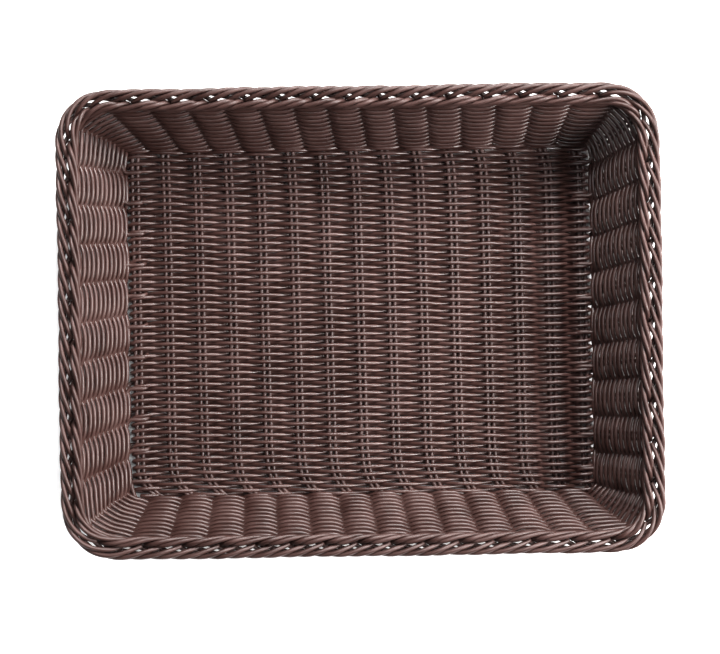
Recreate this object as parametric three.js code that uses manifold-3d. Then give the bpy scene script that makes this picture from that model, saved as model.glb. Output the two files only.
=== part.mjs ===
// Rectangular bread basket of woven plastic cane, in millimetres, +Z up.
// The origin is the centre of the underside. X runs along the long sides.
// Upright stakes run inside the weave: 15 pairs of long stakes cross the floor and climb both long
// walls, and 21 folded stakes hang on the outermost pairs and climb the short walls. One weaver
// fills the floor, one weaver spirals up the wall, and the plaited border closes the top.
import * as THREE from "three";
import { mergeVertices } from "three/addons/utils/BufferGeometryUtils.js";
import Module from "manifold-3d";

// Strands
const STAKE_D = 3.3;
const WEAVER_D = 2.5;
const GAP = 0.3;
const TUNNEL_GAP = 0.6;
const PAIR_TUNNEL = 2 * STAKE_D + GAP + 2 * TUNNEL_GAP;
const STAKE_SIDES = 6;

// Floor
const LONG_PAIRS = 15;
const PAIR_PITCH = 22.1;
const LOOP_RISE = STAKE_D + GAP;
const FLOOR_Z = 1.5 * STAKE_D + GAP + 0.15;
const FLOOR_TOP = 2 * FLOOR_Z;
const FLOOR_HALF = [158.2, 116.7];
const FLOOR_CORNER = 6;

// Folded stakes along the short sides; each loops round the outermost pair
const LEFT_FOLDED = 11;
const LEFT_PITCH = 21.4;
const RIGHT_FOLDED = 10;
const RIGHT_PITCH = 23.6;
const PAIR_X = ((LONG_PAIRS - 1) / 2) * PAIR_PITCH;
const LOOP_REACH = 10.2;

// Wall: its middle surface runs from the floor's edge to the underside of the border
const WALL_HALF = STAKE_D / 2 + WEAVER_D;
const WALL_SLOPE = (25 * Math.PI) / 180;
const FOOT = { z: 9.4, half: [163.8, 122.3], corner: 10 };
const TOP = { z: 58.6, half: [186.9, 142.6], corner: 22 };
const WALL_LOW = 13;
const STAKE_END = 0.975;
const STAKE_START = 0.05;
const LEG_START = 0.04;

// Foot rounds: heights, with how far the inner and outer faces stand outside the middle surface
const FOOT_ROUNDS = [
  { z: 0.2, inner: 1.9, outer: 4.6 },
  { z: 2.6, inner: 1.8, outer: 5 },
  { z: 7.5, inner: 2.1, outer: 4.7 },
  { z: 12.7, inner: 2.5, outer: 4.58 },
];

// Ring positions are counted in stakes, anticlockwise from the bottom left
const RING = 51;
const FIRST_RIGHT = LONG_PAIRS;
const LAST_TOP = 2 * LONG_PAIRS + RIGHT_FOLDED - 1;
const FIRST_LEFT = LAST_TOP + 1;
const LONG_SPAN = 13.8;
const SHORT_SPAN = 9.2;
const CORNER_SPANS = [1.45, 1.05, 1.45, 1.05];
const RING_START = 0.1;
const FOOT_LEAN = 0.72;
const TOP_LEAN = 0.94;

// Border bands: underside, top, inner half sizes, width and outer corner radius
const INNER_BAND = { low: 58.9, high: 69, half: [184.9, 140.4], width: 6.1, corner: 20 };
const OUTER_BAND = { low: 58.3, high: 70, half: [191.3, 146.8], width: 7.7, corner: 26 };
const BAND_ROUND = 2.4;

const CORNER_STEPS = 4;
const PLASTIC = { color: 0x5c423e, roughness: 0.42, metalness: 0 };

const wasm = await Module();
wasm.setup();

// ---- booleans ----

function toSolid(geometry) {
  const bare = geometry.clone();
  bare.deleteAttribute("normal");
  bare.deleteAttribute("uv");
  const merged = mergeVertices(bare, 1e-4);
  return new wasm.Manifold(
    new wasm.Mesh({
      numProp: 3,
      vertProperties: merged.attributes.position.array,
      triVerts: new Uint32Array(merged.index.array),
    }),
  );
}

function toGeometry(solid) {
  const mesh = solid.getMesh();
  const count = mesh.vertProperties.length / mesh.numProp;
  const positions = new Float32Array(count * 3);
  for (let i = 0; i < count; i++) {
    const start = i * mesh.numProp;
    positions.set(mesh.vertProperties.subarray(start, start + 3), i * 3);
  }
  const geometry = new THREE.BufferGeometry();
  geometry.setAttribute("position", new THREE.BufferAttribute(positions, 3));
  geometry.setIndex(new THREE.BufferAttribute(new Uint32Array(mesh.triVerts), 1));
  geometry.computeVertexNormals();
  return geometry;
}

function cutAll(body, tools) {
  return tools.reduce((left, tool) => left.subtract(tool), body);
}

// ---- flared bodies: a stack of rounded rectangles, one at each level ----

function flaredBody(levels) {
  const outline = new THREE.Shape();
  const signs = [[1, -1], [1, 1], [-1, 1], [-1, -1]];
  signs.forEach(([sx, sy], quarter) => {
    for (let i = 0; i <= CORNER_STEPS; i++) {
      const angle = ((quarter - 1 + i / CORNER_STEPS) * Math.PI) / 2;
      const x = 2 * sx + Math.cos(angle);
      const y = 2 * sy + Math.sin(angle);
      if (quarter === 0 && i === 0) outline.moveTo(x, y);
      else outline.lineTo(x, y);
    }
  });
  const steps = levels.length - 1;
  const geometry = new THREE.ExtrudeGeometry(outline, { depth: steps, steps, bevelEnabled: false });
  const position = geometry.attributes.position;
  for (let i = 0; i < position.count; i++) {
    const { z, half, corner } = levels[Math.round(position.getZ(i))];
    const sx = Math.sign(position.getX(i));
    const sy = Math.sign(position.getY(i));
    const x = sx * (half[0] - corner) + corner * (position.getX(i) - 2 * sx);
    const y = sy * (half[1] - corner) + corner * (position.getY(i) - 2 * sy);
    position.setXYZ(i, x, y, z);
  }
  return toSolid(geometry);
}

function levelAt(z, half, corner, offset = 0) {
  return { z, half: [half[0] + offset, half[1] + offset], corner: corner + offset };
}

// ---- the wall's middle surface ----

function mix(a, b, share) {
  return a + (b - a) * share;
}

// Half sizes, corner radius and height of the middle surface, h = 0 at the foot and 1 at the top.
function wallLevel(h) {
  return {
    z: mix(FOOT.z, TOP.z, h),
    half: [mix(FOOT.half[0], TOP.half[0], h), mix(FOOT.half[1], TOP.half[1], h)],
    corner: mix(FOOT.corner, TOP.corner, h),
  };
}

// The point at ring position u of a level, with the outward direction there.
function ringPoint(u, { z, half, corner }) {
  const [a, b] = [half[0] - corner, half[1] - corner];
  const sides = [
    { from: [-a, -half[1]], to: [a, -half[1]], out: -90, span: LONG_SPAN },
    { from: [half[0], -b], to: [half[0], b], out: 0, span: SHORT_SPAN },
    { from: [a, half[1]], to: [-a, half[1]], out: 90, span: LONG_SPAN },
    { from: [-half[0], b], to: [-half[0], -b], out: 180, span: SHORT_SPAN },
  ];
  const centres = [[a, -b], [a, b], [-a, b], [-a, -b]];
  let left = (((u - RING_START) % RING) + RING) % RING;
  for (let i = 0; i < 4; i++) {
    const side = sides[i];
    if (left <= side.span) {
      const angle = (side.out * Math.PI) / 180;
      const share = left / side.span;
      const x = mix(side.from[0], side.to[0], share);
      const y = mix(side.from[1], side.to[1], share);
      return framed(x, y, z, angle);
    }
    left -= side.span;
    if (left <= CORNER_SPANS[i] || i === 3) {
      const angle = ((side.out + (90 * left) / CORNER_SPANS[i]) * Math.PI) / 180;
      const x = centres[i][0] + corner * Math.cos(angle);
      const y = centres[i][1] + corner * Math.sin(angle);
      return framed(x, y, z, angle);
    }
    left -= CORNER_SPANS[i];
  }
}

function framed(x, y, z, angle) {
  const cos = Math.cos(WALL_SLOPE);
  const out = new THREE.Vector3(cos * Math.cos(angle), cos * Math.sin(angle), -Math.sin(WALL_SLOPE));
  return { at: new THREE.Vector3(x, y, z), out };
}

// ---- stakes ----

// A path with its own stations; the section's width follows the surface that the path lies on.
class StakePath extends THREE.Curve {
  constructor(stations) {
    super();
    this.stations = stations;
  }

  getPoint(t) {
    const place = t * (this.stations.length - 1);
    const i = Math.min(Math.floor(place), this.stations.length - 2);
    return this.stations[i].at.clone().lerp(this.stations[i + 1].at, place - i);
  }

  getSpacedPoints() {
    return this.stations.map(({ at }) => at.clone());
  }

  computeFrenetFrames() {
    const tangents = this.stations.map((_, i) => tangentAt(this.stations, i));
    const binormals = tangents.map((t, i) => t.clone().cross(this.stations[i].out).normalize());
    const normals = tangents.map((t, i) => binormals[i].clone().cross(t).normalize());
    return { tangents, normals, binormals };
  }
}

function tangentAt(stations, i) {
  const before = stations[Math.max(i - 1, 0)].at;
  const after = stations[Math.min(i + 1, stations.length - 1)].at;
  const here = stations[i].at;
  const tangent = new THREE.Vector3();
  if (i > 0) tangent.add(here.clone().sub(before).normalize());
  if (i < stations.length - 1) tangent.add(after.clone().sub(here).normalize());
  return tangent.normalize();
}

function sweep(stations, outline) {
  const steps = stations.length - 1;
  const extrudePath = new StakePath(stations);
  return new THREE.ExtrudeGeometry(outline, { steps, extrudePath, bevelEnabled: false });
}

function roundSection(radius, sides) {
  const outline = new THREE.Shape();
  for (let i = 0; i < sides; i++) {
    const angle = ((i + 0.5) * 2 * Math.PI) / sides;
    const x = radius * Math.cos(angle);
    const y = radius * Math.sin(angle);
    if (i === 0) outline.moveTo(x, y);
    else outline.lineTo(x, y);
  }
  outline.closePath();
  return outline;
}

function boxSection(thickness, width) {
  const outline = new THREE.Shape();
  outline.moveTo(-thickness / 2, -width / 2);
  outline.lineTo(thickness / 2, -width / 2);
  outline.lineTo(thickness / 2, width / 2);
  outline.lineTo(-thickness / 2, width / 2);
  outline.closePath();
  return outline;
}

const rodSection = roundSection(STAKE_D / 2, STAKE_SIDES);
const tunnelSection = boxSection(STAKE_D + 2 * TUNNEL_GAP, PAIR_TUNNEL);

// Shifts a path sideways on its surface, to lay the two stakes of a pair next to each other.
function shifted(stations, distance) {
  return stations.map(({ at, out }, i) => {
    const side = tangentAt(stations, i).cross(out).normalize();
    return { at: at.clone().addScaledVector(side, distance), out };
  });
}

// A looped rod's section has no right way up, so its first direction is only carried along the path.
function carried(stations) {
  let out = stations[0].out;
  return stations.map(({ at }, i) => {
    const tangent = tangentAt(stations, i);
    out = out.clone().addScaledVector(tangent, -out.dot(tangent)).normalize();
    return { at, out };
  });
}

// Lengthens a path at both ends, so that a tunnel made on it opens cleanly.
function lengthened(stations, extra) {
  const ends = [stations[0], stations[stations.length - 1]];
  const next = [stations[1], stations[stations.length - 2]];
  const out = ends.map(({ at, out: o }, i) => {
    const along = at.clone().sub(next[i].at).normalize();
    return { at: at.clone().addScaledVector(along, extra), out: o };
  });
  return [out[0], ...stations, out[1]];
}

function wallStation(stake, h) {
  return ringPoint(stake + mix(FOOT_LEAN, TOP_LEAN, h), wallLevel(h));
}

// The stations of a stake up the wall; only a stake in a corner, which curves, needs one midway.
function climb(stake, start) {
  const low = wallStation(stake, start);
  const high = wallStation(stake, STAKE_END);
  const curved = low.out.distanceTo(high.out) > 0.01;
  return curved ? [low, wallStation(stake, 0.5), high] : [low, high];
}

// Where a stake turns up from the floor, towards its place at the wall's foot.
function bendStation(floorPoint, stake) {
  const foot = wallStation(stake, 0);
  const flat = floorPoint.clone().lerp(foot.at, 0.62);
  flat.z = mix(FLOOR_Z, FOOT.z, 0.2);
  const out = foot.out.clone().add(new THREE.Vector3(0, 0, -1)).normalize();
  return { at: flat, out };
}

function longPairPath(i) {
  const x = (i - (LONG_PAIRS - 1) / 2) * PAIR_PITCH;
  const low = i;
  const high = LAST_TOP - i;
  const down = new THREE.Vector3(0, 0, -1);
  const lowEdge = new THREE.Vector3(x, -110, FLOOR_Z);
  const highEdge = new THREE.Vector3(x, 110, FLOOR_Z);
  return [
    ...climb(low, STAKE_START).reverse(),
    bendStation(lowEdge, low),
    { at: lowEdge, out: down },
    { at: highEdge, out: down },
    bendStation(highEdge, high),
    ...climb(high, STAKE_START),
  ];
}

// A folded stake comes down the wall, loops over and under the outermost pair, and climbs again.
// The loop ends at the foot of each leg.
function loopPath(stake, side, y) {
  const half = (STAKE_D + GAP) / 2;
  const place = (x, dy, z, outX, outZ) => ({
    at: new THREE.Vector3(side * (PAIR_X + x), y + side * dy, z),
    out: new THREE.Vector3(side * outX, 0, outZ).normalize(),
  });
  const foot = wallStation(stake, LEG_START);
  return [
    sideways(foot, stake, half),
    place(4.5, half, FLOOR_Z + LOOP_RISE, 0, -1),
    place(-5, half, FLOOR_Z + LOOP_RISE, 0.2, -1),
    place(-7.7, half / 2, FLOOR_Z + LOOP_RISE * 0.6, 1, -0.6),
    place(-7.7, -half / 2, FLOOR_Z - LOOP_RISE * 0.6, 1, 0.6),
    place(-5, -half, FLOOR_Z - LOOP_RISE, 0.2, 1),
    place(4.5, -half, FLOOR_Z - LOOP_RISE, 0, 1),
    sideways(foot, stake, -half),
  ];
}

// The gap that the weavers leave for a loop at the floor's edge.
function loopGap(side, y) {
  const length = FLOOR_HALF[0] + 5 - (PAIR_X - LOOP_REACH);
  const box = new THREE.BoxGeometry(length, PAIR_TUNNEL + 2 * GAP, FLOOR_TOP + 4);
  return toSolid(box.translate(side * (PAIR_X - LOOP_REACH + length / 2), y, FLOOR_Z));
}

// A station moved along the wall, to one leg of a folded stake.
function sideways({ at, out }, stake, distance) {
  const h = (at.z - FOOT.z) / (TOP.z - FOOT.z);
  const along = wallStation(stake + 0.01, h).at.sub(at).normalize();
  return { at: at.clone().addScaledVector(along, distance), out };
}

function foldedStake(name, stake, side, y) {
  const half = (STAKE_D + GAP) / 2;
  const [foot, ...above] = climb(stake, LEG_START);
  const legA = above.map((station) => sideways(station, stake, half));
  const legB = above.map((station) => sideways(station, stake, -half));
  const strand = [...legA.reverse(), ...loopPath(stake, side, y), ...legB];
  return { name, side, y, legs: [foot, ...above], stations: carried(strand) };
}

function foldedStakes() {
  const number = (k) => String(k + 1).padStart(2, "0");
  const left = Array.from({ length: LEFT_FOLDED }, (_, k) => {
    const y = ((LEFT_FOLDED - 1) / 2 - k) * LEFT_PITCH;
    return foldedStake(`side_stake_left_${number(k)}`, FIRST_LEFT + k, -1, y);
  });
  const right = Array.from({ length: RIGHT_FOLDED }, (_, k) => {
    const y = (k - (RIGHT_FOLDED - 1) / 2) * RIGHT_PITCH;
    return foldedStake(`side_stake_right_${number(k)}`, FIRST_RIGHT + k, 1, y);
  });
  return [...left, ...right];
}

function longStakes() {
  const spacing = (STAKE_D + GAP) / 2;
  return Array.from({ length: LONG_PAIRS }, (_, i) => {
    const path = longPairPath(i);
    const number = String(i + 1).padStart(2, "0");
    return [
      { name: `long_stake_${number}_a`, stations: shifted(path, -spacing), path },
      { name: `long_stake_${number}_b`, stations: shifted(path, spacing), path },
    ];
  }).flat();
}

// ---- weave ----

// A level of the wall at height z, standing outside its middle surface by a horizontal distance.
function wallRing(z, outside) {
  const { half, corner } = wallLevel((z - FOOT.z) / (TOP.z - FOOT.z));
  return levelAt(z, half, corner, outside);
}

function floorBody() {
  return flaredBody([
    levelAt(0, FLOOR_HALF, FLOOR_CORNER, -1.2),
    levelAt(1.2, FLOOR_HALF, FLOOR_CORNER),
    levelAt(FLOOR_TOP - 1.2, FLOOR_HALF, FLOOR_CORNER),
    levelAt(FLOOR_TOP, FLOOR_HALF, FLOOR_CORNER, -1.2),
  ]);
}

function footBody() {
  const lowest = FOOT_ROUNDS[0];
  const highest = FOOT_ROUNDS[FOOT_ROUNDS.length - 1];
  const inner = [
    wallRing(lowest.z - 1, lowest.inner),
    ...FOOT_ROUNDS.map((round) => wallRing(round.z, round.inner)),
    wallRing(highest.z + 1, highest.inner + 0.5),
  ];
  return flaredBody(FOOT_ROUNDS.map((round) => wallRing(round.z, round.outer))).subtract(flaredBody(inner));
}

function wallBody() {
  const across = WALL_HALF / Math.cos(WALL_SLOPE);
  const outer = [wallRing(WALL_LOW, across), wallRing(TOP.z, across)];
  const inner = [wallRing(WALL_LOW - 1, -across), wallRing(TOP.z + 1, -across)];
  return flaredBody(outer).subtract(flaredBody(inner));
}

// ---- border ----

function bandBody({ low, high, half, width, corner }) {
  const levels = (offset, round) => [
    levelAt(low, half, corner, offset - round),
    levelAt(low + BAND_ROUND, half, corner, offset),
    levelAt(high - BAND_ROUND, half, corner, offset),
    levelAt(high, half, corner, offset - round),
  ];
  const hole = levels(0, -BAND_ROUND);
  const through = [
    { ...hole[0], z: low - 1 },
    ...hole,
    { ...hole[3], z: high + 1 },
  ];
  return flaredBody(levels(width, BAND_ROUND)).subtract(flaredBody(through));
}

// ---- assembly ----

const basket = new THREE.Group();
basket.name = "bread_basket";

function addPiece(name, geometry) {
  const material = new THREE.MeshStandardMaterial(PLASTIC);
  const mesh = new THREE.Mesh(geometry, material);
  mesh.name = name;
  basket.add(mesh);
}

const pairs = longStakes();
const folded = foldedStakes();
const pairTunnels = pairs
  .filter((_, i) => i % 2 === 0)
  .map(({ path }) => toSolid(sweep(lengthened(path, 2), tunnelSection)));
const legTunnels = folded.map(({ legs }) => toSolid(sweep(lengthened(legs, 6), tunnelSection)));
const loopGaps = folded.map(({ side, y }) => loopGap(side, y));

addPiece("floor_weave", toGeometry(cutAll(floorBody(), [...pairTunnels, ...loopGaps])));
addPiece("foot_weave", toGeometry(footBody()));
addPiece("wall_weave", toGeometry(cutAll(wallBody(), [...pairTunnels, ...legTunnels])));
addPiece("border_inner_plait", toGeometry(bandBody(INNER_BAND)));
addPiece("border_outer_plait", toGeometry(bandBody(OUTER_BAND)));
[...pairs, ...folded].forEach(({ name, stations }) => {
  addPiece(name, toGeometry(toSolid(sweep(stations, rodSection))));
});

export default basket;
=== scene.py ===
# Rectangular bread basket, plaited from two thicknesses of brown plastic cane.
# Every strand is a real tube on its real path. Lengths are worked out in millimetres,
# with the origin under the middle of the basket, and go to metres when a mesh is made.
import bpy
import numpy as np
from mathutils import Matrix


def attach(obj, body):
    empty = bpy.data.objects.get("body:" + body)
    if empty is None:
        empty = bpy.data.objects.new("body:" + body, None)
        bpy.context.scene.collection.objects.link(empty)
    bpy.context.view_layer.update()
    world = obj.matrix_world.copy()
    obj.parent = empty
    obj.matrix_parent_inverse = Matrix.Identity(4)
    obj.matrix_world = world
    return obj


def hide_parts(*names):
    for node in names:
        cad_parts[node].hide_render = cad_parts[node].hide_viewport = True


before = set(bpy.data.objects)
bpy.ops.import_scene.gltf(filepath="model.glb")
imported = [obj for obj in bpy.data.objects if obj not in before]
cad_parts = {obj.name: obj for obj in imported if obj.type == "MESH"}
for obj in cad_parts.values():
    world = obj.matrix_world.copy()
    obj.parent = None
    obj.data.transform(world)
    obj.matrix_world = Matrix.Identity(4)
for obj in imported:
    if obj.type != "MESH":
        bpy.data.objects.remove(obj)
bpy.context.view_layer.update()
mm = 0.001

strands = {
    "stakeRadius": 1.5,    # the thick cane: stakes and border
    "floorRadius": 1.33,   # the thin cane, in the floor
    "wallRadius": 1.5,     # and in the wall, where it is pressed wide
}
layout = {
    "pairs": 15,           # long pairs of stakes across the floor
    "pairPitch": 22.1,
    "leftStakes": 11,      # folded stakes on the left short side
    "leftPitch": 21.4,
    "rightStakes": 10,     # folded stakes on the right short side
    "rightPitch": 23.6,
    "pairGap": 3.8,        # between the middles of the two stakes of a pair
    "floorHeight": 5.1,    # middle of the floor's thickness
    "floorSkew": 0.015,    # how much the long pairs lean over the floor
    # stakes per side and corner, from the front side, at the foot and at the top of the wall
    "spansLow": [14.3, 1.2, 9.2, 0.8, 14.3, 1.2, 9.2, 0.8],
    "spansHigh": [13.8, 1.45, 9.2, 1.05, 13.8, 1.45, 9.2, 1.05],
    "startLow": -0.15, "startHigh": 0.1,
    "crowd": 0.085,        # how much closer the stakes stand in the middle of a long side, at the top
    "footLean": 0.72,      # how far round, in stakes, each stake has moved at the foot
    "topLean": 0.94,       # and at the top
}
wall = {
    "halfX": 159.8, "halfY": 118.8,  # where the floor starts to turn up
    "bend": 4.5,           # radius of the turn at the foot
    "rise": 1.152,         # angle of the wall above level, in radians
    "flareX": 1.09, "flareY": 0.94,  # short walls flare more than long ones
    "cornerLow": 7.0, "cornerHigh": 24.0,
    "top": 61.6,           # length up the wall to the border
}
stakeCount = 2 * layout["pairs"] + layout["leftStakes"] + layout["rightStakes"]  # 51
pairX = (layout["pairs"] - 1) / 2 * layout["pairPitch"]
halfGap = layout["pairGap"] / 2


# Smooth wandering between about -1 and 1: three sine waves with seeded phases and uneven lengths.
def wander(t, seed, wave=1.0):
    rng = np.random.default_rng(seed)
    phases = rng.uniform(0, 2 * np.pi, 3)
    speeds = rng.uniform(0.75, 1.25, 3) * np.array([1.0, 2.3, 5.1])
    t = np.asarray(t, float)[..., None] / wave
    return (np.sin(2 * np.pi * t * speeds + phases) * [0.5, 0.33, 0.22]).sum(-1)


def smoothStep(x):  # 3x^2 - 2x^3 between 0 and 1
    x = np.clip(x, 0, 1)
    return x * x * (3 - 2 * x)


# ---- the basket's own surface ----
# A rounded rectangle measured in stakes: each straight side and each quarter-circle corner takes a
# number of stakes that changes with the height share h, so u picks a corner centre and an angle, and
# the point is centre + radius. Along a long side s runs from -1 to 1 as (1 - c) s + c s^3.
def plainRing(u, halfX, halfY, corner, h):
    low, high = np.array(layout["spansLow"]), np.array(layout["spansHigh"])
    h = np.clip(h, 0, 1)
    spans = low + (high - low) * h[..., None]
    ends = np.cumsum(spans, -1)
    t = np.mod(u - layout["startLow"] - (layout["startHigh"] - layout["startLow"]) * h, stakeCount)
    part = (t[..., None] >= ends[..., :-1]).sum(-1)
    pick = part[..., None]
    span = np.take_along_axis(spans, pick, -1)[..., 0]
    share = (t - np.take_along_axis(ends, pick, -1)[..., 0]) / span + 1
    side, isCorner = part // 2, part % 2 == 1
    s, c = 2 * share - 1, layout["crowd"] * h * (side % 2 == 0)
    straight = ((1 - c) * s + c * s**3 + 1) / 2
    signX, signY = np.array([-1, 1, 1, -1, -1]), np.array([-1, -1, 1, 1, -1])
    along = np.where(isCorner, 1.0, straight)
    cx = (signX[side] * (1 - along) + signX[side + 1] * along) * (halfX - corner)
    cy = (signY[side] * (1 - along) + signY[side + 1] * along) * (halfY - corner)
    angle = (side - 1 + np.where(isCorner, share, 0)) * np.pi / 2
    return np.stack([cx + corner * np.cos(angle), cy + corner * np.sin(angle),
                     np.cos(angle), np.sin(angle)], -1)


# The same ring with its speed evened out: the weighted mean of five points 0.2 stakes apart.
def ring(u, halfX, halfY, corner, h):
    u, h = np.broadcast_arrays(np.asarray(u, float), np.asarray(h, float))
    steps, weights = [-0.4, -0.2, 0.0, 0.2, 0.4], [1 / 16, 4 / 16, 6 / 16, 4 / 16, 1 / 16]
    mean = sum(w * plainRing(u + s, halfX, halfY, corner, h) for s, w in zip(steps, weights))
    out = mean[..., 2:]
    return mean[..., :2], out / np.linalg.norm(out, axis=-1, keepdims=True)


# A point of the wall: a turn of radius "bend", then a straight slope; "off" moves it square to the
# surface, outwards if positive. Returns the point and the outward direction.
def wallPoint(u, v, off=0.0):
    u, v, off = np.broadcast_arrays(np.asarray(u, float), np.asarray(v, float), np.asarray(off, float))
    turn = np.clip(v / wall["bend"], 0, wall["rise"])
    beyond = np.maximum(v - wall["bend"] * wall["rise"], 0)
    reach = wall["bend"] * np.sin(turn)
    halfX = wall["halfX"] + reach + beyond * np.cos(wall["rise"]) * wall["flareX"]
    halfY = wall["halfY"] + reach + beyond * np.cos(wall["rise"]) * wall["flareY"]
    z = layout["floorHeight"] + wall["bend"] * (1 - np.cos(turn)) + beyond * np.sin(wall["rise"])
    corner = wall["cornerLow"] + (wall["cornerHigh"] - wall["cornerLow"]) * np.clip(v / wall["top"], 0, 1.1)
    xy, out = ring(u, halfX, halfY, corner, v / wall["top"])
    normal = np.concatenate([out * np.sin(turn)[..., None], -np.cos(turn)[..., None]], -1)
    point = np.concatenate([xy, z[..., None]], -1) + off[..., None] * normal
    return point, normal


def leanAt(v):  # how far round a stake stands at length v up the wall, in stakes
    share = np.clip((np.asarray(v, float) - 8) / (wall["top"] - 8), 0, 1)
    return layout["footLean"] + (layout["topLean"] - layout["footLean"]) * share


# ---- tubes ----
# Resamples a polyline evenly by length after rounding it: a cubic through the points whose slope at
# each point is half the step between its neighbours.
def smoothPath(points, spacing):
    p = np.asarray(points, float)
    step = np.maximum(np.linalg.norm(np.diff(p, axis=0), axis=1), 1e-6)
    t = np.concatenate([[0], np.cumsum(step)])
    slope = np.gradient(p, t, axis=0)
    s = np.linspace(0, t[-1], max(int(round(t[-1] / spacing)) + 1, 3))
    i = np.clip(np.searchsorted(t, s, side="right") - 1, 0, len(step) - 1)
    h = step[i][:, None]
    x = ((s - t[i])[:, None]) / h
    return (p[i] * (2 * x**3 - 3 * x**2 + 1) + slope[i] * h * (x**3 - 2 * x**2 + x)
            + p[i + 1] * (3 * x**2 - 2 * x**3) + slope[i + 1] * h * (x**3 - x**2))


# Carries a direction along a path without twisting it: the turn from each tangent to the next is
# the matrix I + K + K.K / (1 + cosine), K being their cross product, and the turns are multiplied up
# along the path by doubling, as whole arrays.
def carriedAcross(tangent):
    n = len(tangent)
    cross = np.cross(tangent[:-1], tangent[1:])
    cosine = (tangent[:-1] * tangent[1:]).sum(1)
    k = np.zeros((n - 1, 3, 3))
    k[:, [2, 0, 1], [1, 2, 0]] = cross
    k -= k.transpose(0, 2, 1)
    turns = np.tile(np.eye(3), (n, 1, 1))
    turns[1:] += k + k @ k / (1 + cosine)[:, None, None]
    step = 1
    while step < n:
        turns[step:] = turns[step:] @ turns[:-step]
        step *= 2
    first = np.cross(tangent[0], [0.31, 0.17, 0.94])
    across = turns @ (first / np.linalg.norm(first))
    across -= tangent * (across * tangent).sum(1, keepdims=True)
    return across / np.linalg.norm(across, axis=1, keepdims=True)


# A closed tube: centre + radius (cos a . across + sin a . other) at each point of the path, with the
# ends drawn in and closed. UV: length along in metres, and once round.
def tube(name, path, radius, sides, seed=1):
    path = np.asarray(path, float)
    n = len(path)
    tangent = np.gradient(path, axis=0)
    tangent /= np.linalg.norm(tangent, axis=1, keepdims=True)
    across = carriedAcross(tangent)
    other = np.cross(tangent, across)
    length = np.concatenate([[0], np.cumsum(np.linalg.norm(np.diff(path, axis=0), axis=1))])
    inset = 0.45 * radius
    path = np.concatenate([path[:1] - inset * tangent[:1], path, path[-1:] + inset * tangent[-1:]])
    across, other = (np.concatenate([way[:1], way, way[-1:]]) for way in (across, other))
    length = np.concatenate([[-inset], length, [length[-1] + inset]])
    swell = radius * (1 + 0.025 * wander(length, seed, 37))
    swell[[0, -1]] *= 0.7
    n += 2
    angle = np.arange(sides) * 2 * np.pi / sides
    rings = path[:, None] + swell[:, None, None] * (
        np.cos(angle)[None, :, None] * across[:, None] + np.sin(angle)[None, :, None] * other[:, None])
    i, j = np.meshgrid(np.arange(n - 1), np.arange(sides), indexing="ij")
    k = (j + 1) % sides
    corners = [[i, j], [i, k], [i + 1, k], [i + 1, j]]
    quads = np.stack([a * sides + b for a, b in corners], -1).reshape(-1, 4)
    caps = np.concatenate([np.arange(sides)[::-1], (n - 1) * sides + np.arange(sides)])
    along = np.stack([length[a] for a, b in corners], -1)
    around = np.stack([b / sides for a, b in [[i, j], [i, j + 1], [i + 1, j + 1], [i + 1, j]]], -1)
    quadUv = np.stack([along * mm, around], -1).reshape(-1, 2)
    capUv = np.stack([length[caps // sides] * mm, (caps % sides) / sides], -1)
    loops = np.concatenate([quads.ravel(), caps]).astype(np.int32)
    starts = np.concatenate([np.arange(len(quads)) * 4, [4 * len(quads), 4 * len(quads) + sides]])
    mesh = bpy.data.meshes.new(name)
    mesh.vertices.add(n * sides)
    mesh.vertices.foreach_set("co", (rings * mm).astype(np.float32).ravel())
    mesh.loops.add(len(loops))
    mesh.loops.foreach_set("vertex_index", loops)
    mesh.polygons.add(len(starts))
    mesh.polygons.foreach_set("loop_start", starts.astype(np.int32))
    layer = mesh.uv_layers.new(name="strand")
    layer.data.foreach_set("uv", np.concatenate([quadUv, capUv]).astype(np.float32).ravel())
    mesh.update(calc_edges=True)
    mesh.polygons.foreach_set("use_smooth", np.ones(len(starts), bool))
    piece = bpy.data.objects.new(name, mesh)
    bpy.context.collection.objects.link(piece)
    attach(piece, "root")
    return piece


# ---- finish ----
cane = {
    "deep": (0.042, 0.017, 0.0135),   # colour in the dull stretches
    "warm": (0.080, 0.037, 0.031),    # usual colour
    "pale": (0.128, 0.070, 0.062),    # rubbed stretches
    "weaverRoughness": 0.35,
    "stakeRoughness": 0.46,
    "grooves": 0.10,                  # strength of the fine lines along the cane
}


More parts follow.
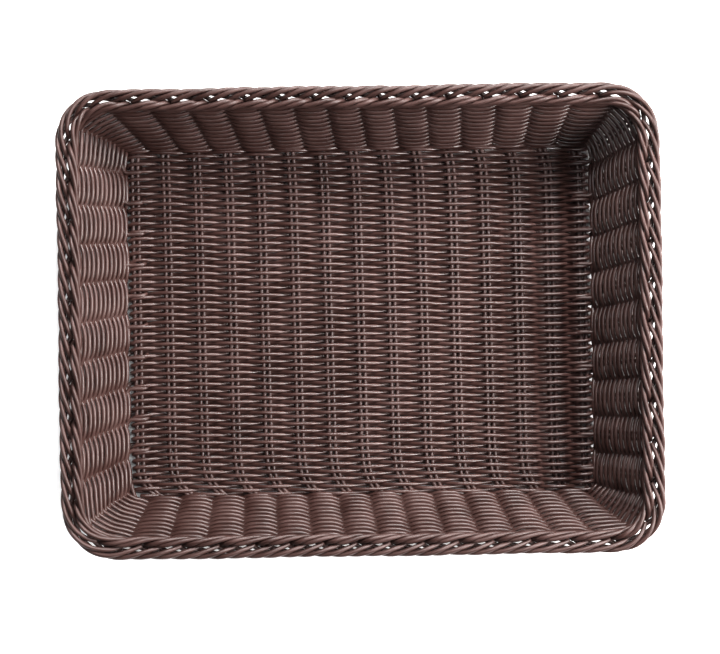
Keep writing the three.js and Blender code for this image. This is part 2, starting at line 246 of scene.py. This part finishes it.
# Satin plastic cane: streaky noise drawn out along the strand gives the colour, the roughness and
# the fine lines; a slow noise over the basket makes some stretches duller or rubbed.
def caneFinish(name, seed, roughness):
    mat = bpy.data.materials.new(name)
    mat.use_nodes = True
    nodes, links = mat.node_tree.nodes, mat.node_tree.links
    shader = nodes["Principled BSDF"]
    uv = nodes.new("ShaderNodeUVMap")
    uv.uv_map = "strand"
    stretch = nodes.new("ShaderNodeMapping")
    stretch.inputs["Scale"].default_value = (90, 14, 1)
    stretch.inputs["Location"].default_value = (seed * 3.7, seed * 1.3, 0)
    links.new(uv.outputs["UV"], stretch.inputs["Vector"])
    streaks = nodes.new("ShaderNodeTexNoise")
    streaks.inputs["Scale"].default_value = 1.0
    streaks.inputs["Detail"].default_value = 3.0
    links.new(stretch.outputs["Vector"], streaks.inputs["Vector"])
    place = nodes.new("ShaderNodeTexCoord")
    patches = nodes.new("ShaderNodeTexNoise")
    patches.inputs["Scale"].default_value = 46.0
    patches.inputs["Detail"].default_value = 2.0
    links.new(place.outputs["Object"], patches.inputs["Vector"])
    blend = nodes.new("ShaderNodeMix")
    blend.data_type = "FLOAT"
    blend.inputs["Factor"].default_value = 0.45
    links.new(streaks.outputs["Fac"], blend.inputs["A"])
    links.new(patches.outputs["Fac"], blend.inputs["B"])
    colours = nodes.new("ShaderNodeValToRGB")
    for stop, (at, colour) in enumerate(((0.33, cane["deep"]), (0.50, cane["warm"]), (0.70, cane["pale"]))):
        if stop == 2:
            colours.color_ramp.elements.new(at)
        element = colours.color_ramp.elements[stop]
        element.position = at
        element.color = colour + (1,)
    links.new(blend.outputs["Result"], colours.inputs["Fac"])
    links.new(colours.outputs["Color"], shader.inputs["Base Color"])
    gloss = nodes.new("ShaderNodeMapRange")
    gloss.inputs["From Min"].default_value = 0.3
    gloss.inputs["From Max"].default_value = 0.7
    gloss.inputs["To Min"].default_value = roughness - 0.06
    gloss.inputs["To Max"].default_value = roughness + 0.10
    links.new(blend.outputs["Result"], gloss.inputs["Value"])
    links.new(gloss.outputs["Result"], shader.inputs["Roughness"])
    lines = nodes.new("ShaderNodeBump")
    lines.inputs["Strength"].default_value = cane["grooves"]
    lines.inputs["Distance"].default_value = 0.0002
    links.new(streaks.outputs["Fac"], lines.inputs["Height"])
    links.new(lines.outputs["Normal"], shader.inputs["Normal"])
    shader.inputs["Specular IOR Level"].default_value = 0.8
    shader.inputs["IOR"].default_value = 1.5
    return mat


weaverFinish = caneFinish("weaverCane", 1, cane["weaverRoughness"])
stakeFinish = caneFinish("stakeCane", 2, cane["stakeRoughness"])


def dress(piece, finish, slot, *nodes):
    piece.data.materials.append(finish)
    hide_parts(*nodes)
    return piece


# ---- floor ----
floor = {
    "rows": 94,
    "reachY": 118.8,       # the first and last row
    "loop": 4.7,           # how far a turn stands outside the outermost pair's middle
    "lift": 2.9,           # how far the strand passes over and under the middle
    "perPitch": 7,         # points between two pairs
    "sides": 10,
    "slackLeft": 1.5,      # how far the folded stakes push the rows' ends along
    "slackRight": 1.1,
    "slackLeast": 0.35,    # smallest share of that, between two folded stakes
    "slackAt": 160.0, "slackReach": 17.0,  # where along a row it is, and how far it reaches
    "slackEnd": 118.0,     # where it has faded out at the front and back
    "pullFrom": 84.0, "pullOver": 34.0,    # where the long pairs bend near the front and back
    "frontPull": 2.6, "backPull": 0.8,     # and how far
    "outerHold": 0.75,     # share of that which the outermost pairs don't follow
}


# Sideways lean of the long pairs: minus skew times y, with a smooth step more towards the front and
# back edges, less at the outermost pairs.
def pairShift(x, y):
    front = smoothStep((-y - floor["pullFrom"]) / floor["pullOver"])
    back = smoothStep((y - floor["pullFrom"]) / floor["pullOver"])
    shift = -layout["floorSkew"] * y + floor["frontPull"] * front - floor["backPull"] * back
    return shift * (1 - floor["outerHold"] * (np.clip(np.abs(x), 0, pairX) / pairX) ** 4)


def saw(y, count, pitch):  # from 0 to 1 over each pitch, starting just past a folded stake
    return np.mod((y + (count - 1) / 2 * pitch - 2) / pitch, 1)


# How far the rows' ends are pushed along by the folded stakes: a saw that is fullest just past each
# folded stake, fading away from the edge and at the floor's corners.
def rowPush(x, y):
    least = floor["slackLeast"]
    left = least + (1 - least) * saw(y, layout["leftStakes"], layout["leftPitch"])
    right = least + (1 - least) * saw(-y, layout["rightStakes"], layout["rightPitch"])
    fade = np.clip(1 - (np.abs(y) / floor["slackEnd"]) ** 6, 0, 1)
    nearLeft = np.exp(-(((x + floor["slackAt"]) / floor["slackReach"]) ** 2))
    nearRight = np.exp(-(((x - floor["slackAt"]) / floor["slackReach"]) ** 2))
    return (nearRight * right * floor["slackRight"] - nearLeft * left * floor["slackLeft"]) * fade


def flatWave(t):  # cosine with a flatter top: c + 0.45 c (1 - c^2)
    c = np.cos(np.pi * t)
    return c * (1 + 0.45 * (1 - c * c))


# One strand, row after row: over and under each pair by a flat-topped wave, then round the outside
# of the outermost pair on half an oval and back along the next row.
def floorPath():
    lift = floor["lift"]
    last = layout["pairs"] - 1
    t = np.linspace(0, last, last * floor["perPitch"] + 1)
    ys = np.linspace(-floor["reachY"], floor["reachY"], floor["rows"])
    pitchY = ys[1] - ys[0]
    rows = []
    for row, y in enumerate(ys):
        forward = row % 2 == 0
        along = t if forward else t[::-1]
        sign = 1 if forward else -1
        x = (along - last / 2) * layout["pairPitch"]
        yy = y + 0.5 * wander(x + 0.4 * y, 400, 150) + 0.05 * wander(x, 401 + row, 60)
        z = layout["floorHeight"] + lift * sign * flatWave(along) * (1 + 0.05 * wander(x, 700 + row, 45))
        rows.append(np.stack([x + pairShift(x, yy), yy, z], -1))
        if row < floor["rows"] - 1:
            turn = np.linspace(0, np.pi, 9)[1:-1]
            up = sign * (1 if (last if forward else 0) % 2 == 0 else -1)
            ease = np.sign(np.sin(turn)) * np.abs(np.sin(turn)) ** 0.8
            tall = np.sign(np.cos(turn)) * np.abs(np.cos(turn)) ** 0.8
            yTurn = y + pitchY * turn / np.pi
            xTurn = sign * (pairX + floor["loop"] * ease) + pairShift(pairX, yTurn)
            rows.append(np.stack([xTurn, yTurn, layout["floorHeight"] + lift * up * tall], -1))
    path = np.concatenate(rows)
    path[:, 1] += rowPush(path[:, 0], path[:, 1])
    return path


floorWeaver = tube("floorWeaver", floorPath(), strands["floorRadius"], floor["sides"], 11)
dress(floorWeaver, weaverFinish, "weaver_cane", "floor_weave")
print("floor woven")

# ---- wall ----
weave = {
    "start": 1.9,          # length up the wall where the first round lies
    "underBorder": 0.6,    # length left free below the border
    "rounds": 24.1,
    "levels": 23.3,        # how many rounds' height the wall is divided into
    "level": 0.78,         # share of a round that stays level
    "lift": 2.75,          # how far the strand stands inside and outside the stakes
    "loose": 0.4,          # how much looser the weaving is on the right wall
    "looseAt": 20.5, "looseReach": 5.0,  # where that is, in stakes round
    "waver": 0.2,          # how far a round wanders up and down
    "perPitch": 8,         # points between two stakes
    "sides": 10,
}


# One strand spiralling up: inside one stake and outside the next by the flat-topped wave. The
# number of stakes is odd, so each round falls on the other side of the round below. A round stays
# level until the left wall, where a smooth step lifts it to the next.
def wallPath():
    u = np.arange(0, weave["rounds"] * stakeCount, 1 / weave["perPitch"])
    pitch = (wall["top"] - weave["underBorder"] - weave["start"]) / weave["levels"]
    turns = u / stakeCount
    step = smoothStep((np.mod(turns, 1) - weave["level"]) / (1 - weave["level"]))
    v = weave["start"] + pitch * (np.floor(turns) + step)
    beside = (np.mod(u, stakeCount) - weave["looseAt"]) / weave["looseReach"]
    loose = 1 + weave["loose"] * np.exp(-(beside**2))
    v = v + weave["waver"] * loose * wander(u, 31, 9)
    lift = weave["lift"] * (0.7 + 0.3 * loose) * (1 + 0.05 * loose * wander(u, 32, 5))
    point, _ = wallPoint(u, v, lift * flatWave(u - leanAt(v)))
    return point


wallWeaver = tube("wallWeaver", wallPath(), strands["wallRadius"], weave["sides"], 12)
dress(wallWeaver, weaverFinish, "weaver_cane", "foot_weave", "wall_weave")
print("wall woven")

# ---- border ----
border = {
    "halfX": 190.0, "halfY": 146.0, "corner": 25.0,  # the line of the groove between the two bands
    "pitch": 24.5,         # usual distance between stakes there
    "touch": 3.04,         # distance between strands that lie against each other
    "rounds": 260,         # how many times the strands are eased apart
    "push": 0.28, "straighten": 0.22, "keep": 0.01,  # shares of each movement taken in one round
    "step": 0.5,           # furthest a point moves in one round
    "lowest": 60.2,        # nothing past the first turn sinks below this height
    "sway": 0.45, "heave": 0.4,  # how far the whole border wanders sideways and up
}
# The way of each strand through the border, as stakes travelled, distance outside the groove, height.
# The rear strand of a pair turns down steeply inside; the front one follows half a stake behind it.
rearWay = np.array([
    (-0.078, -1.9, 57.5), (-0.07, -0.7, 61.5), (0.02, -0.2, 65.0), (0.22, -1.8, 67.8), (0.48, -4.0, 67.0),
    (0.74, -5.2, 64.0), (1.02, -4.9, 61.6), (1.42, -2.6, 60.4), (1.82, 0.9, 60.3), (2.22, 4.4, 60.5),
    (2.56, 7.0, 62.2), (2.84, 7.6, 65.2), (3.08, 6.7, 67.6), (3.34, 4.5, 68.0), (3.60, 2.2, 66.6),
    (3.78, 0.8, 63.8), (3.87, 0.2, 61.2),
])
frontWay = np.array([
    (0.078, -1.9, 57.5), (0.085, -0.7, 61.5), (0.20, 0.0, 65.6), (0.46, -1.3, 67.7), (0.82, -3.6, 67.6),
    (1.12, -5.1, 65.4), (1.38, -4.9, 62.2), (1.80, -2.6, 60.5), (2.20, 0.9, 60.3), (2.62, 4.4, 60.5),
    (3.02, 7.0, 62.2), (3.31, 7.6, 65.2), (3.56, 6.7, 67.6), (3.82, 4.5, 68.0), (4.08, 2.2, 66.6),
    (4.26, 0.8, 63.8), (4.35, 0.2, 61.2),
])


# Eases the strands apart as a maker's hands would: every point of one pair is compared with the
# same pair repeated a stake apart, points closer than "touch" are pushed apart, and each strand is
# drawn a little straighter after every push.
def settleBorder():
    scale = np.array([border["pitch"], 1, 1])
    ways = [smoothPath(way * scale, 1.3) for way in (rearWay, frontWay)]
    count = min(len(way) for way in ways)
    share = np.linspace(0, 1, count)
    evened = [[np.interp(share, np.linspace(0, 1, len(way)), way[:, c]) for c in range(3)] for way in ways]
    p = np.concatenate([np.stack(columns, -1) for columns in evened])
    home = p.copy()
    strand = np.repeat([0, 1], count)
    free = np.tile(np.clip((np.arange(count) - 3) / 5, 0, 1), 2)[:, None]
    shifts = np.arange(-5, 6)
    for _ in range(border["rounds"]):
        move = np.zeros_like(p)
        for k in shifts:
            gap = p[:, None] - (p + [k * border["pitch"], 0, 0])[None]
            near = np.linalg.norm(gap, axis=2)
            other = (strand[:, None] != strand[None]) | (k != 0)
            push = np.where(other, np.clip(border["touch"] - near, 0, None), 0) / np.maximum(near, 1e-6)
            move += border["push"] * (gap * push[..., None]).sum(1)
        p += free * np.clip(move, -border["step"], border["step"])
        smooth = p.copy()
        for s in (0, count):
            smooth[s + 1:s + count - 1] = (p[s:s + count - 2] + p[s + 2:s + count]) / 2
        p += free * (border["straighten"] * (smooth - p) + border["keep"] * (home - p))
        high = free[:, 0] > 0.6
        p[high, 2] = np.maximum(p[high, 2], border["lowest"])
    return [(p[s:s + count] / scale) for s in (0, count)]


settled = settleBorder()
print("border settled")


# A settled way placed on the basket: the ring at that many stakes on, moved outwards and up.
def borderPath(stake, which):
    way = settled[which]
    u = stake + layout["topLean"] + way[:, 0]
    xy, out = ring(u, border["halfX"], border["halfY"], border["corner"], 1.0)
    sway = border["sway"] * wander(u / stakeCount, 51, 0.11)
    heave = border["heave"] * wander(u / stakeCount, 52, 0.09)
    z = way[:, 2] + heave * np.clip((way[:, 2] - 58) / 4, 0, 1)
    xy = xy + out * (way[:, 1] + sway)[:, None]
    return np.concatenate([xy, z[:, None]], -1)


# ---- stakes ----
stakes = {
    "sides": 10,
    "spacing": 1.9,        # length between two rings of the tube
    "turnFrom": -16.0,     # where a long stake starts to move sideways, before the floor's edge
    "turnTo": 7.0,
}


# The part of a stake on the wall: the surface at the stake's own place, moved half a pair sideways.
def wallLeg(stake, v, sideways):
    here, _ = wallPoint(stake + leanAt(v), v)
    ahead, _ = wallPoint(stake + leanAt(v) + 0.02, v)
    along = ahead - here
    return here + sideways * along / np.linalg.norm(along, axis=1, keepdims=True)


# One end of a long stake, from the floor to the top of the wall: the straight way up and the
# leaning way up are mixed by a smooth step as the stake turns the corner.
def longEnd(pair, stake, front, sideways):
    v = np.concatenate([np.arange(stakes["turnFrom"], 10, 1.6), np.linspace(11, wall["top"] - 5, 16)])
    turn = np.clip(v / wall["bend"], 0, wall["rise"])
    beyond = np.maximum(v - wall["bend"] * wall["rise"], 0)
    y = wall["halfY"] + np.where(v < 0, v, wall["bend"] * np.sin(turn))
    y = y + beyond * np.cos(wall["rise"]) * wall["flareY"]
    z = layout["floorHeight"] + wall["bend"] * (1 - np.cos(turn)) + beyond * np.sin(wall["rise"])
    sign = -1 if front else 1
    x = (pair - (layout["pairs"] - 1) / 2) * layout["pairPitch"]
    x = x + pairShift(x, sign * y)
    straight = np.stack([x + (1 if front else -1) * sideways, sign * y, z], -1)
    leaning = wallLeg(stake, np.maximum(v, 1.5), sideways)
    share = smoothStep((v - stakes["turnFrom"]) / (stakes["turnTo"] - stakes["turnFrom"]))[:, None]
    return straight * (1 - share) + leaning * share


def longStake(pair, isRear):
    lastTop = 2 * layout["pairs"] + layout["rightStakes"] - 1
    # the stake on the left of the pair is the rear one at the front wall and the leading one behind
    sideFront = -halfGap if isRear else halfGap
    front = longEnd(pair, pair, True, sideFront)
    back = longEnd(pair, lastTop - pair, False, -sideFront)
    y = np.linspace(front[0, 1], back[0, 1], 24)[1:-1]
    x = (pair - (layout["pairs"] - 1) / 2) * layout["pairPitch"]
    x = x + pairShift(x, y) + sideFront
    middle = np.stack([x, y, np.full_like(y, layout["floorHeight"])], -1)
    frontTail = borderPath(pair, 0 if isRear else 1)[2:]
    backTail = borderPath(lastTop - pair, 1 if isRear else 0)[2:]
    return np.concatenate([frontTail[::-1], front[::-1], middle, back, backTail])


# A folded stake: down the wall, over the outermost pair, round it and back under it, and up again.
def foldedStake(stake, side, y):
    v = np.linspace(9, wall["top"] - 5, 18)
    z0, rise = layout["floorHeight"], 2 * strands["stakeRadius"] + 0.1
    shift = pairShift(pairX, y)
    loop = np.array([
        (pairX + 5.5, halfGap, rise), (pairX, halfGap, rise + 0.1),
        (pairX - 4.4, halfGap * 0.8, rise * 0.8), (pairX - 6.2, 0, 0),
        (pairX - 4.4, -halfGap * 0.8, -rise * 0.8), (pairX, -halfGap, -rise),
        (pairX + 5.5, -halfGap, -rise * 0.9),
    ])
    loop = np.stack([side * loop[:, 0] + shift, y + side * loop[:, 1], z0 + loop[:, 2]], -1)
    rearTail, frontTail = borderPath(stake, 0)[2:], borderPath(stake, 1)[2:]
    rear, front = wallLeg(stake, v, -halfGap), wallLeg(stake, v, halfGap)
    return np.concatenate([frontTail[::-1], front[::-1], loop, rear, rearTail])


def addStake(name, path, node, seed):
    piece = tube(name, smoothPath(path, stakes["spacing"]), strands["stakeRadius"], stakes["sides"], seed)
    dress(piece, stakeFinish, "stake_cane", node, "border_inner_plait", "border_outer_plait")


for pair in range(layout["pairs"]):
    for letter, isRear in (("a", True), ("b", False)):
        addStake(f"longCane{pair + 1:02d}{letter}", longStake(pair, isRear),
                 f"long_stake_{pair + 1:02d}_{letter}", 100 + 2 * pair + isRear)
print("long stakes laid")

for k in range(layout["rightStakes"]):
    y = (k - (layout["rightStakes"] - 1) / 2) * layout["rightPitch"]
    addStake(f"rightCane{k + 1:02d}", foldedStake(layout["pairs"] + k, 1, y),
             f"side_stake_right_{k + 1:02d}", 200 + k)
for k in range(layout["leftStakes"]):
    y = ((layout["leftStakes"] - 1) / 2 - k) * layout["leftPitch"]
    addStake(f"leftCane{k + 1:02d}", foldedStake(2 * layout["pairs"] + layout["rightStakes"] + k, -1, y),
             f"side_stake_left_{k + 1:02d}", 300 + k)
print("folded stakes laid")

# ---- studio ----
studio = {
    "cameraHeight": 1.087,
    "lens": 77.9,
    "roll": -0.85,         # degrees
    "right": 20.5,         # the lights' power
    "back": 24.0,
    "top": 5.5,
    "sky": 0.03,           # brightness overhead
    "walls": 0.7,          # and at the horizon
    "wallsTo": 0.02, "skyFrom": 0.30,  # sine of the height where one ends and the other starts
    # painted light: strength of the table's own glow around the basket
    "tableGlow": 0.6,
    "tableEdge": 40.0,
    "shadeX": 0.156, "shadeY": 0.112,  # half sides of the rectangle that the glow is measured from
    "glowFrom": 0.038, "glowFull": 0.062,  # distances from it, in metres
    "shiftX": -0.5 / 720, "shiftY": -6.0 / 720,
    "exposure": 0.4, "gamma": 0.86,
}


def areaLight(name, at, size, power, colour=(1, 1, 1)):
    data = bpy.data.lights.new(name, "AREA")
    data.shape = "RECTANGLE"
    data.size, data.size_y = size
    data.energy = power
    data.color = colour
    lamp = bpy.data.objects.new(name, data)
    lamp.location = at
    direction = -np.array(at, float)
    flat = np.hypot(direction[0], direction[1])
    turned = np.arctan2(direction[1], direction[0]) - np.pi / 2
    lamp.rotation_euler = (np.arctan2(flat, -direction[2]), 0, turned)
    bpy.context.collection.objects.link(lamp)


areaLight("rightLight", (1.05, -0.1, 0.8), (0.7, 0.5), studio["right"], (1, 0.99, 0.98))
areaLight("backLight", (0.4, 1.0, 0.95), (0.9, 0.5), studio["back"], (1, 0.99, 0.98))
areaLight("topLight", (0.1, 0.3, 1.6), (0.7, 0.5), studio["top"], (0.97, 0.98, 1))


# White studio walls under a dim ceiling: the brightness falls by a smooth step as the sine of the
# height above the horizon goes from low to high.
def studioWalls():
    world = bpy.data.worlds.new("studioWalls")
    world.use_nodes = True
    nodes, links = world.node_tree.nodes, world.node_tree.links
    shader = nodes["Background"]
    shader.inputs["Color"].default_value = (1, 1, 1, 1)
    direction = nodes.new("ShaderNodeTexCoord")
    apart = nodes.new("ShaderNodeSeparateXYZ")
    links.new(direction.outputs["Generated"], apart.inputs["Vector"])
    fall = nodes.new("ShaderNodeMapRange")
    fall.interpolation_type = "SMOOTHSTEP"
    fall.inputs["From Min"].default_value = studio["wallsTo"]
    fall.inputs["From Max"].default_value = studio["skyFrom"]
    fall.inputs["To Min"].default_value = studio["walls"]
    fall.inputs["To Max"].default_value = studio["sky"]
    links.new(apart.outputs["Z"], fall.inputs["Value"])
    links.new(fall.outputs["Result"], shader.inputs["Strength"])
    return world


bpy.context.scene.world = studioWalls()
bpy.context.scene.view_settings.view_transform = "Standard"
bpy.context.scene.view_settings.exposure = studio["exposure"]
bpy.context.scene.view_settings.gamma = studio["gamma"]

tableTop = bpy.data.meshes.new("tableTop")
edge = studio["tableEdge"]
tableCorners = [(-edge, -edge, 0), (edge, -edge, 0), (edge, edge, 0), (-edge, edge, 0)]
tableTop.from_pydata(tableCorners, [], [(0, 1, 2, 3)])


# Pale table with painted light: an emission glow all round the basket stands in for a brightly lit table,
# though no lamp is behind it. The glow is nought under the basket, where the table keeps its real shade,
# and rises by a smooth step of the distance outside a rectangle with round corners.
def tableSurface():
    mat = bpy.data.materials.new("paleTable")
    mat.use_nodes = True
    nodes, links = mat.node_tree.nodes, mat.node_tree.links
    shader = nodes["Principled BSDF"]
    shader.inputs["Base Color"].default_value = (0.93, 0.93, 0.93, 1)
    shader.inputs["Roughness"].default_value = 0.9
    shader.inputs["Emission Color"].default_value = (1, 1, 1, 1)
    place = nodes.new("ShaderNodeTexCoord")
    chain = place.outputs["Object"]
    sides = (studio["shadeX"], studio["shadeY"], 0)
    for operation, amount in (("ABSOLUTE", None), ("SUBTRACT", sides), ("MAXIMUM", (0, 0, 0)),
                              ("LENGTH", None)):
        step = nodes.new("ShaderNodeVectorMath")
        step.operation = operation
        links.new(chain, step.inputs[0])
        if amount:
            step.inputs[1].default_value = amount
        chain = step.outputs["Value" if operation == "LENGTH" else "Vector"]
    glow = nodes.new("ShaderNodeMapRange")
    glow.interpolation_type = "SMOOTHSTEP"
    glow.inputs["From Min"].default_value = studio["glowFrom"]
    glow.inputs["From Max"].default_value = studio["glowFull"]
    glow.inputs["To Max"].default_value = studio["tableGlow"]
    links.new(chain, glow.inputs["Value"])
    links.new(glow.outputs["Result"], shader.inputs["Emission Strength"])
    return mat


tableTop.materials.append(tableSurface())
table = bpy.data.objects.new("tableTop", tableTop)
bpy.context.collection.objects.link(table)

cameraData = bpy.data.cameras.new("camera")
cameraData.lens = studio["lens"]
cameraData.sensor_width = 36.0
cameraData.shift_x = studio["shiftX"]
cameraData.shift_y = studio["shiftY"]
camera = bpy.data.objects.new("camera", cameraData)
camera.location = (0, 0, studio["cameraHeight"])
camera.rotation_euler = (0, 0, np.radians(studio["roll"]))
bpy.context.collection.objects.link(camera)
bpy.context.scene.camera = camera
